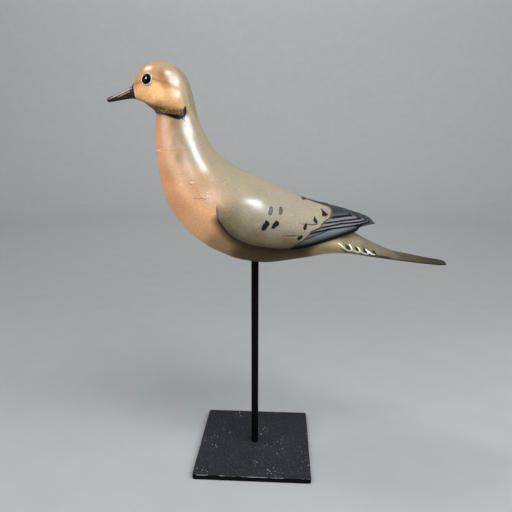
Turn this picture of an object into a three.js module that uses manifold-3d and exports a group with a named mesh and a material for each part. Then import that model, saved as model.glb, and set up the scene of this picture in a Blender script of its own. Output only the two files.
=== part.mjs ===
// A carved and painted mourning dove decoy on a black rod and a square plate.
// Millimetres, +Z up, the origin in the middle of the plate's underside.
// The bird faces -X and its left side faces -Y.
import * as THREE from 'three';
import { mergeVertices } from 'three/addons/utils/BufferGeometryUtils.js';
import Module from 'manifold-3d';

// Sizes that can be changed one by one
const PLATE_SIDE = 101.6;
const PLATE_THICKNESS = 4.76;
const PLATE_CORNER = 2;
const ROD_DIAMETER = 6.35;
const ROD_IN_PLATE = 3;
const ROD_IN_BELLY = 25;
const BELLY_HEIGHT = 182;
const BIRD_LENGTH = 283;
const EYE_DIAMETER = 8.4;

// Gaps between touching pieces
const ROD_CLEARANCE = 0.3;
const EYE_CLEARANCE = 0.3;
const SEAM_GAP = 0.3;

// Carving depths and feature places, in hundredths of the bird's length
const WING_PROUD = 0.55;
const CHEEK_PROUD = 0.35;
const FEATHER_STEP = 0.16;
const MELTED = -0.08;
const SHOULDER_MELT = { slope: 0.3, from: 18.5, to: 23.5 };
const CROWN_MELT = { from: 45, to: 50 };
const TIP_GROOVE = { width: 1.5, start: [22, 15.5], end: [37, 8] };
const SEAM_HEIGHT = 32.7;
const EYE = { x: -29.4, z: 51.8, sunk: 0.3, domed: 0.65 };

// Fineness of the facets
const AROUND = 28;
const BETWEEN_ROWS = 2;
const ROD_FACETS = 32;
const EYE_DETAIL = 3;

// Cross-sections of the carving from the tail tip to the bill tip.
// Each row holds the back's x and z, the breast's x and z, the half width,
// and how far up from the breast the widest belt lies (0 to 1).
// x counts from the rod, z from the belly where the rod goes in.
const CARVING = [
  [57.1, 0.2, 57.2, -0.4, 1.4, 0.5],
  [55.8, 0.7, 55.8, -0.6, 2.5, 0.5],
  [51.9, 1.2, 51.9, -0.2, 3.5, 0.5],
  [47.0, 2.1, 47.0, 0.4, 4.5, 0.5],
  [42.0, 3.0, 42.0, 1.1, 5.4, 0.5],
  [37.5, 4.8, 37.5, 1.6, 6.2, 0.5],
  [34.3, 6.3, 34.3, 2.0, 6.8, 0.48],
  [31.1, 8.0, 31.1, 2.5, 7.6, 0.46],
  [27.6, 10.1, 27.6, 2.9, 8.7, 0.46],
  [24.0, 12.1, 24.0, 3.0, 10.1, 0.48],
  [19.8, 14.5, 19.8, 2.6, 11.9, 0.5],
  [14.8, 17.3, 14.8, 1.6, 13.9, 0.53],
];
const BREAST = [
  [4.9, 22.9, 4.9, 0.0, 16.2, 0.55],
  [0.0, 25.5, 0.0, 0.1, 16.1, 0.52],
  [-5.3, 27.8, -5.3, 1.0, 15.6, 0.48],
  [-9.5, 30.6, -9.5, 2.6, 15.0, 0.44],
  [-11.4, 32.3, -13.2, 4.3, 14.5, 0.43],
  [-12.6, 33.7, -17.4, 7.1, 13.6, 0.43],
];
const NECK_AND_HEAD = [
  [-13.5, 35.2, -21.4, 10.8, 12.4, 0.43],
  [-14.3, 36.7, -24.6, 15.0, 11.0, 0.44],
  [-15.1, 38.3, -26.8, 20.2, 9.3, 0.46],
  [-15.9, 40.0, -28.1, 26.1, 7.8, 0.48],
  [-16.4, 41.5, -28.6, 31.8, 6.7, 0.5],
  [-16.8, 43.0, -28.7, 37.3, 6.1, 0.5],
  [-17.1, 44.4, -28.3, 43.0, 5.9, 0.5],
  [-17.3, 45.5, -28.9, 44.1, 6.1, 0.5],
  [-17.9, 48.1, -30.0, 45.0, 6.4, 0.5],
  [-18.9, 51.7, -31.1, 45.8, 6.3, 0.5],
  [-20.9, 54.8, -32.1, 46.4, 6.1, 0.5],
  [-24.2, 56.5, -32.9, 46.7, 5.7, 0.5],
  [-27.6, 56.9, -33.4, 46.9, 5.0, 0.5],
  [-30.6, 56.2, -33.8, 47.0, 4.1, 0.5],
  [-32.6, 54.6, -34.0, 47.1, 3.1, 0.5],
  [-33.9, 52.5, -34.1, 47.2, 2.3, 0.5],
  [-34.7, 51.0, -34.2, 47.2, 1.8, 0.5],
  [-35.2, 50.4, -34.6, 47.1, 1.5, 0.5],
  [-37.6, 49.3, -36.9, 46.9, 1.3, 0.5],
  [-40.3, 48.1, -39.9, 46.4, 1.0, 0.5],
  [-42.1, 47.4, -42.0, 46.1, 0.7, 0.5],
  [-42.7, 47.0, -42.7, 46.3, 0.3, 0.5],
];

// The rows of the neck and head between the jaw and the bill
const HEAD_ROWS = { first: 4, last: 16 };

// The folded wings are one hull of their own behind the shoulders.
const WING_HULL = [
  [36.0, 12.6, 36.0, 10.0, 1.4, 0.5],
  [33.6, 13.9, 33.6, 7.6, 3.9, 0.52],
  [30.0, 14.9, 30.0, 5.4, 7.3, 0.54],
  [26.5, 15.7, 26.5, 3.9, 9.7, 0.56],
  [22.3, 16.7, 22.3, 2.9, 12.0, 0.57],
  [19.0, 17.3, 19.0, 2.4, 13.4, 0.57],
  [14.8, 18.5, 14.8, 1.5, 14.9, 0.57],
  [9.9, 20.6, 9.9, 0.5, 15.9, 0.56],
];

// Edges seen from the side, each point as x and z.
const WING_FRONT = [[-10.4, 19.2], [-9.9, 16.8], [-9.0, 14.5], [-7.2, 11.8], [-4.9, 9.6], [-1.8, 8.1],
  [1.1, 7.3], [5.0, 6.8], [9.8, 6.9], [13.0, 8.5]];
const COVERT_RIM = [[15.1, 10.3], [16.2, 11.6], [18.3, 12.4], [19.4, 13.6], [21.3, 14.6], [21.9, 15.9],
  [21.4, 17.2], [18.6, 19.2]];
const WING_LOW_EDGE = [[8.5, 6.5], [13.9, 6.8], [20.2, 8.4], [25.5, 9.8], [29.0, 10.7], [30.4, 11.7],
  [35.2, 11.9]];
const WING_TIP_TOP = [[34.1, 13.2], [33.1, 14.1], [31.3, 14.8]];
const FEATHER_ENDS = [
  [[27.3, 14.6], [28.1, 14.5], [26.7, 16.4]],
  [[25.6, 13.6], [30.8, 13.6], [28.1, 15.9]],
  [[24.3, 12.9], [29.8, 12.8], [32.6, 13.0], [31.3, 14.9]],
  [[20.9, 11.8], [29.3, 12.1], [33.6, 12.5], [32.8, 14.4]],
];
const FEATHER_ROOTS = [[19.5, 14.7], [17.6, 13.3], [16.4, 12.0], [14.5, 10.6]];
const UNDER_COVERTS = [12, 14];
const JAW = [[-34.6, 46.2], [-31.0, 44.8], [-28.6, 43.2], [-26.4, 42.8], [-23.0, 42.1], [-20.4, 41.5],
  [-19.4, 41.9], [-19.1, 44.2], [-19.6, 46.5]];

// Clear of the crown and clear of the sides
const ABOVE = 60;
const BESIDE = 20;

const UNIT = BIRD_LENGTH / 100;
const SOCKET_DIAMETER = ROD_DIAMETER + 2 * ROD_CLEARANCE;
const wasm = await Module();
wasm.setup();

// Helpers between three.js geometry and watertight solids
function toSolid(geometry) {
  const bare = geometry.clone();
  bare.deleteAttribute('normal');
  bare.deleteAttribute('uv');
  const merged = mergeVertices(bare, 1e-4);
  const mesh = new wasm.Mesh({
    numProp: 3,
    vertProperties: new Float32Array(merged.attributes.position.array),
    triVerts: new Uint32Array(merged.index.array),
  });
  return new wasm.Manifold(mesh);
}

function toMesh(name, solid, colour, roughness, metalness) {
  const { vertProperties, triVerts } = solid.getMesh();
  const geometry = new THREE.BufferGeometry();
  geometry.setAttribute('position', new THREE.BufferAttribute(new Float32Array(vertProperties), 3));
  geometry.setIndex(new THREE.BufferAttribute(new Uint32Array(triVerts), 1));
  geometry.computeVertexNormals();
  const mesh = new THREE.Mesh(geometry, new THREE.MeshStandardMaterial({ color: colour, roughness, metalness }));
  mesh.name = name;
  return mesh;
}

function fromRings(rings) {
  const count = rings[0].length;
  const positions = rings.flat(2);
  const faces = [];
  for (let i = 0; i + 1 < rings.length; i += 1) {
    for (let j = 0; j < count; j += 1) {
      const a = i * count + j;
      const b = i * count + ((j + 1) % count);
      faces.push(a, b, b + count, a, b + count, a + count);
    }
  }
  const last = (rings.length - 1) * count;
  for (let j = 1; j + 1 < count; j += 1) {
    faces.push(0, j + 1, j);
    faces.push(last, last + j, last + j + 1);
  }
  const geometry = new THREE.BufferGeometry();
  geometry.setAttribute('position', new THREE.Float32BufferAttribute(positions, 3));
  geometry.setIndex(faces);
  return toSolid(geometry);
}

function prism(outline) {
  const shape = new THREE.Shape(outline.map(([x, z]) => new THREE.Vector2(...place(x, z))));
  const geometry = new THREE.ExtrudeGeometry(shape, { depth: 2 * BESIDE * UNIT, bevelEnabled: false });
  geometry.rotateX(Math.PI / 2);
  geometry.translate(0, BESIDE * UNIT, 0);
  return toSolid(geometry);
}

// The prism of an edge seen from the side and of everything above it
function above(edge) {
  const [first, last] = [edge[0], edge[edge.length - 1]];
  return prism([...edge, [last[0], ABOVE], [first[0], ABOVE]]);
}

// Shares of the bird's length to millimetres in the side view
function place(x, z) {
  return [x * UNIT, BELLY_HEIGHT + z * UNIT];
}

// A smooth curve through rows of numbers, at a row count with a fraction
function between(rows, at) {
  const i = Math.min(Math.floor(at), rows.length - 2);
  const t = at - i;
  const before = rows[Math.max(i - 1, 0)];
  const after = rows[Math.min(i + 2, rows.length - 1)];
  return rows[i].map((start, k) => {
    const end = rows[i + 1][k];
    const leave = (end - before[k]) / 2;
    const arrive = (after[k] - start) / 2;
    const bend = 2 * (start - end) + leave + arrive;
    return start + t * (leave + t * (3 * (end - start) - 2 * leave - arrive + t * bend));
  });
}

// A closed skin through cross-sections, pushed outwards by a lift that depends on the place
function skin(rows, lift) {
  const rings = [];
  for (let i = 0; i <= (rows.length - 1) * BETWEEN_ROWS; i += 1) {
    const row = between(rows, i / BETWEEN_ROWS);
    const ring = [];
    for (let j = 0; j < AROUND; j += 1) ring.push(onSkin(row, (-2 * Math.PI * j) / AROUND, lift));
    rings.push(ring);
  }
  return fromRings(rings);
}

function onSkin([backX, backZ, breastX, breastZ, half, belt], angle, lift) {
  const tall = Math.hypot(backX - breastX, backZ - breastZ);
  const rise = Math.sin(angle);
  const reach = rise > 0 ? 1 - belt : belt;
  const at = (share) => [breastX + share * (backX - breastX), breastZ + share * (backZ - breastZ)];
  const proud = lift(...at(belt + rise * reach));
  const [x, z] = place(...at(belt + rise * (reach + proud / tall)));
  return [x, (half + proud) * UNIT * Math.cos(angle), z];
}

// The wings stand proud at their lower edge and melt into the shoulders.
function wingLift(x, z) {
  const { slope, from, to } = SHOULDER_MELT;
  return THREE.MathUtils.lerp(WING_PROUD, MELTED, THREE.MathUtils.smoothstep(z - slope * x, from, to));
}

// The cheeks stand proud of the neck and melt into the crown.
function cheekLift(x, z) {
  return THREE.MathUtils.lerp(CHEEK_PROUD, MELTED, THREE.MathUtils.smoothstep(z, CROWN_MELT.from, CROWN_MELT.to));
}

function foldedWings() {
  const rows = [...WING_HULL, ...BREAST];
  const coverts = skin(rows, wingLift).intersect(above([...WING_FRONT, ...COVERT_RIM]));
  const primaries = above([...WING_LOW_EDGE, ...WING_TIP_TOP]);
  let wings = coverts.add(skin(rows, () => -2 * FEATHER_STEP).intersect(primaries));
  for (let layer = 0; layer < FEATHER_ENDS.length; layer += 1) {
    const feather = above([UNDER_COVERTS, FEATHER_ROOTS[layer], ...FEATHER_ENDS[layer]]);
    const proud = (2 - layer) * FEATHER_STEP;
    wings = wings.add(skin(rows, () => proud).intersect(feather).intersect(primaries));
  }
  return wings.subtract(tipGroove());
}

function cheeks() {
  return skin(NECK_AND_HEAD.slice(HEAD_ROWS.first, HEAD_ROWS.last + 1), cheekLift).intersect(above(JAW));
}

// A wedge from above that parts the two wing tips
function tipGroove() {
  const topZ = place(0, ABOVE)[1];
  const slot = ([x, z], half) => [[x, half, z], [x, half, topZ], [x, -half, topZ], [x, -half, z]];
  const start = slot(place(...TIP_GROOVE.start), TIP_GROOVE.width * UNIT * 0.01);
  const end = slot(place(...TIP_GROOVE.end), (TIP_GROOVE.width * UNIT) / 2);
  return fromRings([start, end]);
}

function cylinder(diameter, bottom, top) {
  const geometry = new THREE.CylinderGeometry(diameter / 2, diameter / 2, top - bottom, ROD_FACETS);
  geometry.rotateX(Math.PI / 2);
  geometry.translate(0, 0, (top + bottom) / 2);
  return toSolid(geometry);
}

// A domed glass eye that faces straight out of the head
function eye(side, clearance) {
  const { centre, outward } = eyeSeat(side);
  const radius = EYE_DIAMETER / 2 + clearance;
  const geometry = new THREE.IcosahedronGeometry(radius, EYE_DETAIL);
  geometry.scale(1, 1, EYE.domed);
  const turn = new THREE.Quaternion().setFromUnitVectors(new THREE.Vector3(0, 0, 1), outward);
  geometry.applyQuaternion(turn);
  geometry.translate(centre.x, centre.y, centre.z);
  return toSolid(geometry);
}

// Everything above or below a level
function slab(bottom, top) {
  const geometry = new THREE.BoxGeometry(3 * BIRD_LENGTH, 3 * BIRD_LENGTH, top - bottom);
  geometry.translate(0, 0, (bottom + top) / 2);
  return toSolid(geometry);
}

// Where an eye sits: the nearest place on the head's skin to the eye's side-view position
function eyeSeat(side) {
  const flat = () => 0;
  const goal = place(EYE.x, EYE.z);
  const skinPoint = (row, angle) => new THREE.Vector3(...onSkin(between(NECK_AND_HEAD, row), angle, flat));
  let best = { miss: Infinity };
  for (let row = HEAD_ROWS.first; row < HEAD_ROWS.last; row += 0.05) {
    for (let angle = -1.4; angle < 1.4; angle += 0.02) {
      const point = skinPoint(row, angle);
      const miss = Math.hypot(point.x - goal[0], point.z - goal[1]);
      if (miss < best.miss) best = { miss, row, angle, point };
    }
  }
  const alongHead = skinPoint(best.row + 0.1, best.angle).sub(best.point);
  const aroundHead = skinPoint(best.row, best.angle + 0.05).sub(best.point);
  const outward = aroundHead.cross(alongHead).normalize();
  if (outward.y < 0) outward.negate();
  const centre = best.point.clone().addScaledVector(outward, -EYE.sunk * UNIT);
  centre.y *= side;
  outward.y *= side;
  return { centre, outward };
}

function basePlate() {
  const half = PLATE_SIDE / 2;
  const inner = half - PLATE_CORNER;
  const shape = new THREE.Shape();
  shape.moveTo(-inner, -half);
  shape.absarc(inner, -inner, PLATE_CORNER, -Math.PI / 2, 0);
  shape.absarc(inner, inner, PLATE_CORNER, 0, Math.PI / 2);
  shape.absarc(-inner, inner, PLATE_CORNER, Math.PI / 2, Math.PI);
  shape.absarc(-inner, -inner, PLATE_CORNER, Math.PI, 1.5 * Math.PI);
  const geometry = new THREE.ExtrudeGeometry(shape, {
    depth: PLATE_THICKNESS, bevelEnabled: false, curveSegments: 5,
  });
  const socket = cylinder(SOCKET_DIAMETER, PLATE_THICKNESS - ROD_IN_PLATE, PLATE_THICKNESS + ROD_IN_PLATE);
  return toSolid(geometry).subtract(socket);
}

const rodBottom = PLATE_THICKNESS - ROD_IN_PLATE + ROD_CLEARANCE;
const rodTop = BELLY_HEIGHT + ROD_IN_BELLY;
const seam = place(0, SEAM_HEIGHT)[1];
const rodSocket = cylinder(SOCKET_DIAMETER, BELLY_HEIGHT - ROD_IN_BELLY, rodTop + ROD_CLEARANCE);
const dove = skin([...CARVING, ...BREAST, ...NECK_AND_HEAD], () => 0).add(foldedWings()).add(cheeks());
const body = dove.intersect(slab(0, seam - SEAM_GAP / 2)).subtract(rodSocket);
const head = dove.intersect(slab(seam + SEAM_GAP / 2, seam + BIRD_LENGTH))
  .subtract(eye(-1, EYE_CLEARANCE))
  .subtract(eye(1, EYE_CLEARANCE));

const decoy = new THREE.Group();
decoy.name = 'pigeon_decoy';
decoy.add(toMesh('base_plate', basePlate(), '#1c1c1e', 0.45, 0.2));
decoy.add(toMesh('rod', cylinder(ROD_DIAMETER, rodBottom, rodTop), '#1c1c1e', 0.4, 0.2));
decoy.add(toMesh('body', body, '#b09a78', 0.4, 0));
decoy.add(toMesh('head', head, '#c09468', 0.4, 0));
decoy.add(toMesh('eye_left', eye(-1, 0), '#050506', 0.05, 0));
decoy.add(toMesh('eye_right', eye(1, 0), '#050506', 0.05, 0));

export default decoy;
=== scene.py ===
"""Looks for a carved and painted mourning dove decoy on its black rod and square plate.

The bird faces -X and its left side faces -Y, towards the camera. The tables count in
hundredths of the bird's length: x from the rod, z from the belly where the rod goes in.
Points on the surface are in millimetres, and meshes are in metres.
"""

import math

import bmesh
import bpy
import numpy as np
from mathutils import Matrix, Vector


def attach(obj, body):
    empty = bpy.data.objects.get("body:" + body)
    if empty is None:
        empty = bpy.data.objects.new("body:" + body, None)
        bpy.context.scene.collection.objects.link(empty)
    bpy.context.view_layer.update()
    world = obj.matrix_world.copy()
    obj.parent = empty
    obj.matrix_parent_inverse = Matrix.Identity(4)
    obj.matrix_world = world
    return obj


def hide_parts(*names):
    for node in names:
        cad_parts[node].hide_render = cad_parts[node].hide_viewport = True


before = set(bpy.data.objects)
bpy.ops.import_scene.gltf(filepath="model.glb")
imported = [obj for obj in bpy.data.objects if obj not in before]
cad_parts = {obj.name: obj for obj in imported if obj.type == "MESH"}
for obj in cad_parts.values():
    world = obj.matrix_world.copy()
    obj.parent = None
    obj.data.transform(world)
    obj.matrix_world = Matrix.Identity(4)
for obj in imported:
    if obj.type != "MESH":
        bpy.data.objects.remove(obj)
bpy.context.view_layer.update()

# Sizes in millimetres, the same as the solids'
PLATE_SIDE = 101.6
PLATE_THICKNESS = 4.76
PLATE_CORNER = 2
ROD_DIAMETER = 6.35
BELLY_HEIGHT = 182
BIRD_LENGTH = 283
EYE_DIAMETER = 8.4
UNIT = BIRD_LENGTH / 100
MM = 0.001

# Carving, in millimetres: how far forms stand out or sink in, and how wide their rounded edges are
WING_PROUD = 0.55 * UNIT
CHEEK_PROUD = 0.35 * UNIT
FEATHER_STEP = 0.16 * UNIT
EDGE_SUNK = 0.25
WING_RIM = 1.6
FEATHER_RIM = 1.3
COVERT_EDGE = 0.8
CHEEK_RIM = 1.3
SLIT_DEPTH = 0.5
SLIT_HALF = 0.7
SEAM_CLOSED = 0.02
SEAM_OPEN = 0.12
TIP_THICKNESS = 0.25

# Eyes and eyelids, in millimetres. The glass shines only round one place in the side view.
EYE_DOMED = 0.65
EYE_SUNK = 0.3 * UNIT
EYE_LOWER = 0.4
EYE_SHINE = (-83.3, 329.0)
EYE_SHINE_RADIUS = 0.7
EYE_SHINE_SOFT = 0.3
LID_RADIUS = 4.45
LID_HALF = 0.45
LID_HIGH = 0.35

# Stand, in millimetres
PLATE_EDGE = 0.5
ROD_EDGE = 0.4
ROD_IN_PLATE = 3
ROD_IN_BELLY = 25
ROD_CLEARANCE = 0.3

# Cross-sections from the tail tip to the bill tip. Each row holds the back's x and z,
# the breast's x and z, the half width, and how far up the widest belt lies (0 to 1).
CARVING = [
    [57.1, 0.2, 57.2, -0.4, 1.4, 0.5],
    [55.8, 0.7, 55.8, -0.6, 2.5, 0.5],
    [51.9, 1.2, 51.9, -0.2, 3.5, 0.5],
    [47, 2.1, 47, 0.4, 4.5, 0.5],
    [42, 3, 42, 1.1, 5.4, 0.5],
    [37.5, 4.8, 37.5, 1.6, 6.2, 0.5],
    [34.3, 6.3, 34.3, 2, 6.8, 0.48],
    [31.1, 8, 31.1, 2.5, 7.6, 0.46],
    [27.6, 10.1, 27.6, 2.9, 8.7, 0.46],
    [24, 12.1, 24, 3, 10.1, 0.48],
    [19.8, 14.5, 19.8, 2.6, 11.9, 0.5],
    [14.8, 17.3, 14.8, 1.6, 13.9, 0.53],
]
BREAST = [
    [4.9, 22.9, 4.9, 0, 16.2, 0.55],
    [0, 25.5, 0, 0.1, 16.1, 0.52],
    [-5.3, 27.8, -5.3, 1, 15.6, 0.48],
    [-9.5, 30.6, -9.5, 2.6, 15, 0.44],
    [-11.4, 32.3, -13.2, 4.3, 14.5, 0.43],
    [-12.6, 33.7, -17.4, 7.1, 13.6, 0.43],
]
NECK_AND_HEAD = [
    [-13.5, 35.2, -21.4, 10.8, 12.4, 0.43],
    [-14.3, 36.7, -24.6, 15, 11, 0.44],
    [-15.1, 38.3, -26.8, 20.2, 9.3, 0.46],
    [-15.9, 40, -28.1, 26.1, 7.8, 0.48],
    [-16.4, 41.5, -28.6, 31.8, 6.7, 0.5],
    [-16.8, 43, -28.7, 37.3, 6.1, 0.5],
    [-17.1, 44.4, -28.3, 43, 5.9, 0.5],
    [-17.3, 45.5, -28.9, 44.1, 6.1, 0.5],
    [-17.9, 48.1, -30, 45, 6.4, 0.5],
    [-18.9, 51.7, -31.1, 45.8, 6.3, 0.5],
    [-20.9, 54.8, -32.1, 46.4, 6.1, 0.5],
    [-24.2, 56.5, -32.9, 46.7, 5.7, 0.5],
    [-27.6, 56.88, -33.4, 46.9, 5, 0.5],
    [-30.6, 56.2, -33.8, 47, 4.1, 0.5],
    [-32.6, 54.6, -34, 47.1, 3.1, 0.5],
    [-33.9, 52.5, -34.1, 47.2, 2.3, 0.5],
    [-34.7, 51, -34.2, 47.2, 1.8, 0.5],
    [-35.2, 50.4, -34.6, 47.1, 1.5, 0.5],
    [-37.6, 49.3, -36.9, 46.9, 1.3, 0.5],
    [-40.3, 48.1, -39.9, 46.4, 1, 0.5],
    [-42.1, 47.4, -42, 46.1, 0.7, 0.5],
    [-42.7, 47, -42.7, 46.3, 0.3, 0.5],
]
WING_HULL = [
    [36, 12.6, 36, 10, 1.4, 0.5],
    [33.6, 13.9, 33.6, 7.6, 3.9, 0.52],
    [30, 14.9, 30, 5.4, 7.3, 0.54],
    [26.5, 15.7, 26.5, 3.9, 9.7, 0.56],
    [22.3, 16.7, 22.3, 2.9, 12, 0.57],
    [19, 17.3, 19, 2.4, 13.4, 0.57],
    [14.8, 18.5, 14.8, 1.5, 14.9, 0.57],
    [9.9, 20.6, 9.9, 0.5, 15.9, 0.56],
]

# Carved edges seen from the side, each point as x and z
WING_FRONT = [
    (-10.4, 19.2), (-9.9, 16.8), (-9, 14.5), (-7.2, 11.8),
    (-4.9, 9.6), (-1.8, 8.1), (1.1, 7.3), (5, 6.8),
]
COVERT_BELLY = [(9.8, 6.9), (13, 8.5)]
COVERT_RIM = [
    (15.1, 10.3), (16.2, 11.6), (18.3, 12.4), (19.4, 13.6),
    (21.3, 14.6), (21.9, 15.9), (21.4, 17.2), (18.6, 19.2),
]
WING_LOW_EDGE = [(8.5, 6.5), (13.9, 6.8), (20.2, 8.4), (25.5, 9.8), (29, 10.7), (30.4, 11.7), (35.2, 11.9)]
WING_TIP_TOP = [(31.3, 14.8), (33.1, 14.1), (34.1, 13.2), (35.2, 11.9)]
FEATHER_TIPS_AT, FEATHER_TIPS_SLANT = (28.1, 14.5), 0.345
UNDER_COVERTS = [(12, 14)]
FEATHERS = [
    [(14.5, 10.6), (20.9, 11.8), (29.3, 12.1), (33.6, 12.5), (32.8, 14.4)],
    [(16.4, 12), (24.3, 12.9), (29.8, 12.8), (32.6, 13), (31.3, 14.9)],
    [(17.6, 13.3), (25.6, 13.6), (30.8, 13.6), (28.1, 15.9)],
    [(19.5, 14.7), (27.3, 14.6), (28.1, 14.5), (26.7, 16.4)],
]
JAW = [
    (-34.6, 46.2), (-31, 44.8), (-28.6, 43.2), (-26.4, 42.8), (-23, 42.1),
    (-20.4, 41.5), (-19.4, 41.9), (-19.1, 44.2), (-19.6, 46.5),
]
BILL_BASE = [(-34.25, 53), (-33.85, 45.5)]
ABOVE = 60
SEAM_HEIGHT = 32.7
SEAM_Z = BELLY_HEIGHT + SEAM_HEIGHT * UNIT
SEAM_CRACK_START, SEAM_CRACK_END = -60, -50
COVERT_SLITS = [[(12.4, 13.7), (14.5, 13.6), (16.4, 13.4), (17.8, 13.6)], [(9, 10.6), (12.6, 10.6)]]
TIP_GROOVE = [(22, 15.5, 0.05), (37, 8, 2.12)]
DORSAL_STRIPE = [(11.5, -2), (14, 3.5), (17, 6.5), (20, 10), (22, 14)]

# Places on the rows where the wings' shell starts and ends, and its points from edge to edge
WING_TIP_AT = 0.34
WING_FRONT_AT = 11.33
ACROSS_WINGS = 233


def srgb(red, green, feather_sheen):
    """A colour as it looks, from 0 to 255, in the numbers that Blender mixes."""
    shares = [part / 255 for part in (red, green, feather_sheen)]
    return np.array([((part + 0.055) / 1.055) ** 2.4 if part > 0.04 else part / 12.92 for part in shares])


# Paints
SALMON = srgb(222, 154, 107)
PEACH = srgb(206, 152, 108)
APRICOT = srgb(224, 168, 120)
CLAY = srgb(182, 138, 98)
ROSE = srgb(194, 154, 120)
MAUVE = srgb(165, 133, 103)
DUSTY_ROSE = srgb(136, 110, 81)
# Pale pink cream: partly the breast's pink, partly a painted glow of sheen
ROSE_CREAM_SHEEN = srgb(186, 157, 134)
# Grey-blue for the neck: partly the dove's bluish neck, partly a painted tint for the highlight's
# reflection
NECK_BLUE_AND_HIGHLIGHT = srgb(128, 122, 112)
OLIVE = srgb(148, 138, 114)
NECK_OLIVE = srgb(134, 125, 104)
DRAB = srgb(118, 107, 88)
SAGE = srgb(131, 126, 110)
SHADED_OLIVE = srgb(108, 98, 74)
RIM_OLIVE = srgb(124, 114, 90)
# Dark brown for the belly: mostly painted shade under the body, partly its own brown paint
BELLY_BROWN_SHADE = srgb(80, 66, 45)
WARM_BROWN = srgb(155, 127, 92)
BELLY_REAR = srgb(168, 147, 106)
OCHRE = srgb(178, 162, 122)
RUMP = srgb(120, 117, 99)
TAIL_BASE = srgb(100, 96, 79)
TAIL_TOP = srgb(97, 90, 78)
# Darker brown for the tail's lower side, painted shade
TAIL_SIDE_SHADE = srgb(66, 60, 48)
TAIL_TIP = srgb(46, 40, 30)
FACE = srgb(248, 192, 130)
FACE_LOW = srgb(186, 142, 90)
FACE_REAR = srgb(199, 157, 114)
FOREHEAD = srgb(184, 128, 86)
CAP = srgb(142, 122, 98)
CROWN = srgb(160, 116, 78)
BROW = srgb(138, 94, 54)
JAW_BROWN = srgb(70, 48, 28)
LID = srgb(168, 178, 168)
SLATE = srgb(50, 52, 55)
SLATE_DARK = srgb(30, 32, 34)
SLATE_LIGHT = srgb(106, 106, 110)
# Blue-grey for the lower feathers: partly their own colour, partly a painted sheen
SLATE_BLUE_SHEEN = srgb(104, 109, 116)
BLACK_LINE = srgb(8, 8, 9)
GREY_BLUE = srgb(90, 88, 96)
# Dark brown for lines, slits and hatching, and for the painted shadow under the wings
DARK_BROWN_AND_SHADE = srgb(54, 42, 28)
OLIVE_BROWN = srgb(80, 68, 48)
EYE_BROWN = srgb(120, 84, 52)
JAW_DARK = srgb(52, 38, 28)
SEAM_CREAM = srgb(238, 214, 180)
CREAM = srgb(246, 242, 222)
SCRATCH_LIGHT = srgb(240, 206, 168)
SCRATCH_DARK = srgb(120, 72, 46)
BILL_DARK = srgb(20, 16, 15)
BILL_LIGHT = srgb(160, 142, 140)
ENAMEL = srgb(13, 13, 15)
# Lighter enamel for the plate's top, painted as lit from above
ENAMEL_LIT_TOP = srgb(36, 37, 40)
ROD_ENAMEL = srgb(9, 9, 11)
DUST = srgb(90, 92, 98)
DUST_SPECK = srgb(170, 170, 168)
# Light grey for the plate's top edge: bare worn enamel and a painted highlight
BARE_EDGE_AND_HIGHLIGHT = srgb(150, 152, 156)
GLASS_BLACK = srgb(3, 3, 4)
GLASS_BROWN = srgb(11, 7, 5)
FLOOR_GREY = srgb(143, 146, 147)
FLOOR_PALE = srgb(151, 153, 154)

# Airbrushed patches: x, z, how far each spreads, and its paint
BODY_PATCHES = [
    (-29, 55.5, 2.5, CROWN), (-24, 56, 3, CAP),
    (-20, 53, 2.5, OLIVE), (-18.3, 48.7, 2.5, OLIVE),
    (-17.3, 44, 2.5, OLIVE), (-15.5, 38, 3, NECK_OLIVE),
    (-32.3, 51, 2, CROWN), (-28, 40, 1.8, SALMON),
    (-27.8, 35.5, 1.8, SALMON), (-27.4, 31, 2, SALMON),
    (-24.8, 40, 1.7, ROSE), (-24.6, 35.5, 1.7, ROSE),
    (-23.6, 30.5, 2, ROSE), (-21.4, 40, 1.7, DUSTY_ROSE),
    (-20.9, 35.5, 1.7, DUSTY_ROSE), (-19.7, 31, 1.8, DUSTY_ROSE),
    # Greyer, bluer paint along the neck's highlight: partly the dove's bluish neck, partly painted so that
    # the reflection looks cool and white
    (-17.8, 27.5, 1.5, MAUVE), (-18.4, 39, 1.5, NECK_BLUE_AND_HIGHLIGHT),
    (-17.2, 34.5, 1.5, NECK_BLUE_AND_HIGHLIGHT), (-15.6, 30.5, 1.5, NECK_BLUE_AND_HIGHLIGHT),
    (-27, 22, 4, SALMON), (-22.5, 26, 2.5, CLAY),
    (-20, 20, 4, PEACH), (-16, 13, 4, APRICOT),
    # A small pale pinkish patch on the shoulder: partly the breast's pink, partly a painted glow of sheen
    (-15, 25, 3, MAUVE), (-11, 20.5, 1.6, ROSE_CREAM_SHEEN),
    (-9, 29, 4, NECK_OLIVE), (-3, 25.5, 4, NECK_OLIVE),
    # The belly's dark brown patches are mostly painted shade under the body, partly its brown paint
    (-9, 6.5, 3, WARM_BROWN), (-2, 3, 4, BELLY_BROWN_SHADE),
    (6, 2.5, 4, BELLY_BROWN_SHADE), (13, 4, 3, BELLY_BROWN_SHADE),
    (19, 6, 2.5, BELLY_REAR), (23, 6.3, 2, OCHRE),
    (29, 3.5, 2, OCHRE), (27.5, 9, 3, RUMP),
    (33, 5.5, 3, TAIL_BASE), (38, 4.4, 1.6, TAIL_TOP),
    # Darker paint down the tail's side and along its bottom towards the tip: painted shade of the rounded
    # tail's underside
    (38, 2.4, 1.4, TAIL_SIDE_SHADE), (46, 2.4, 1.8, TAIL_SIDE_SHADE),
    (46, 0.8, 1.6, TAIL_TIP), (55, 0.3, 3, TAIL_TIP),
]
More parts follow.
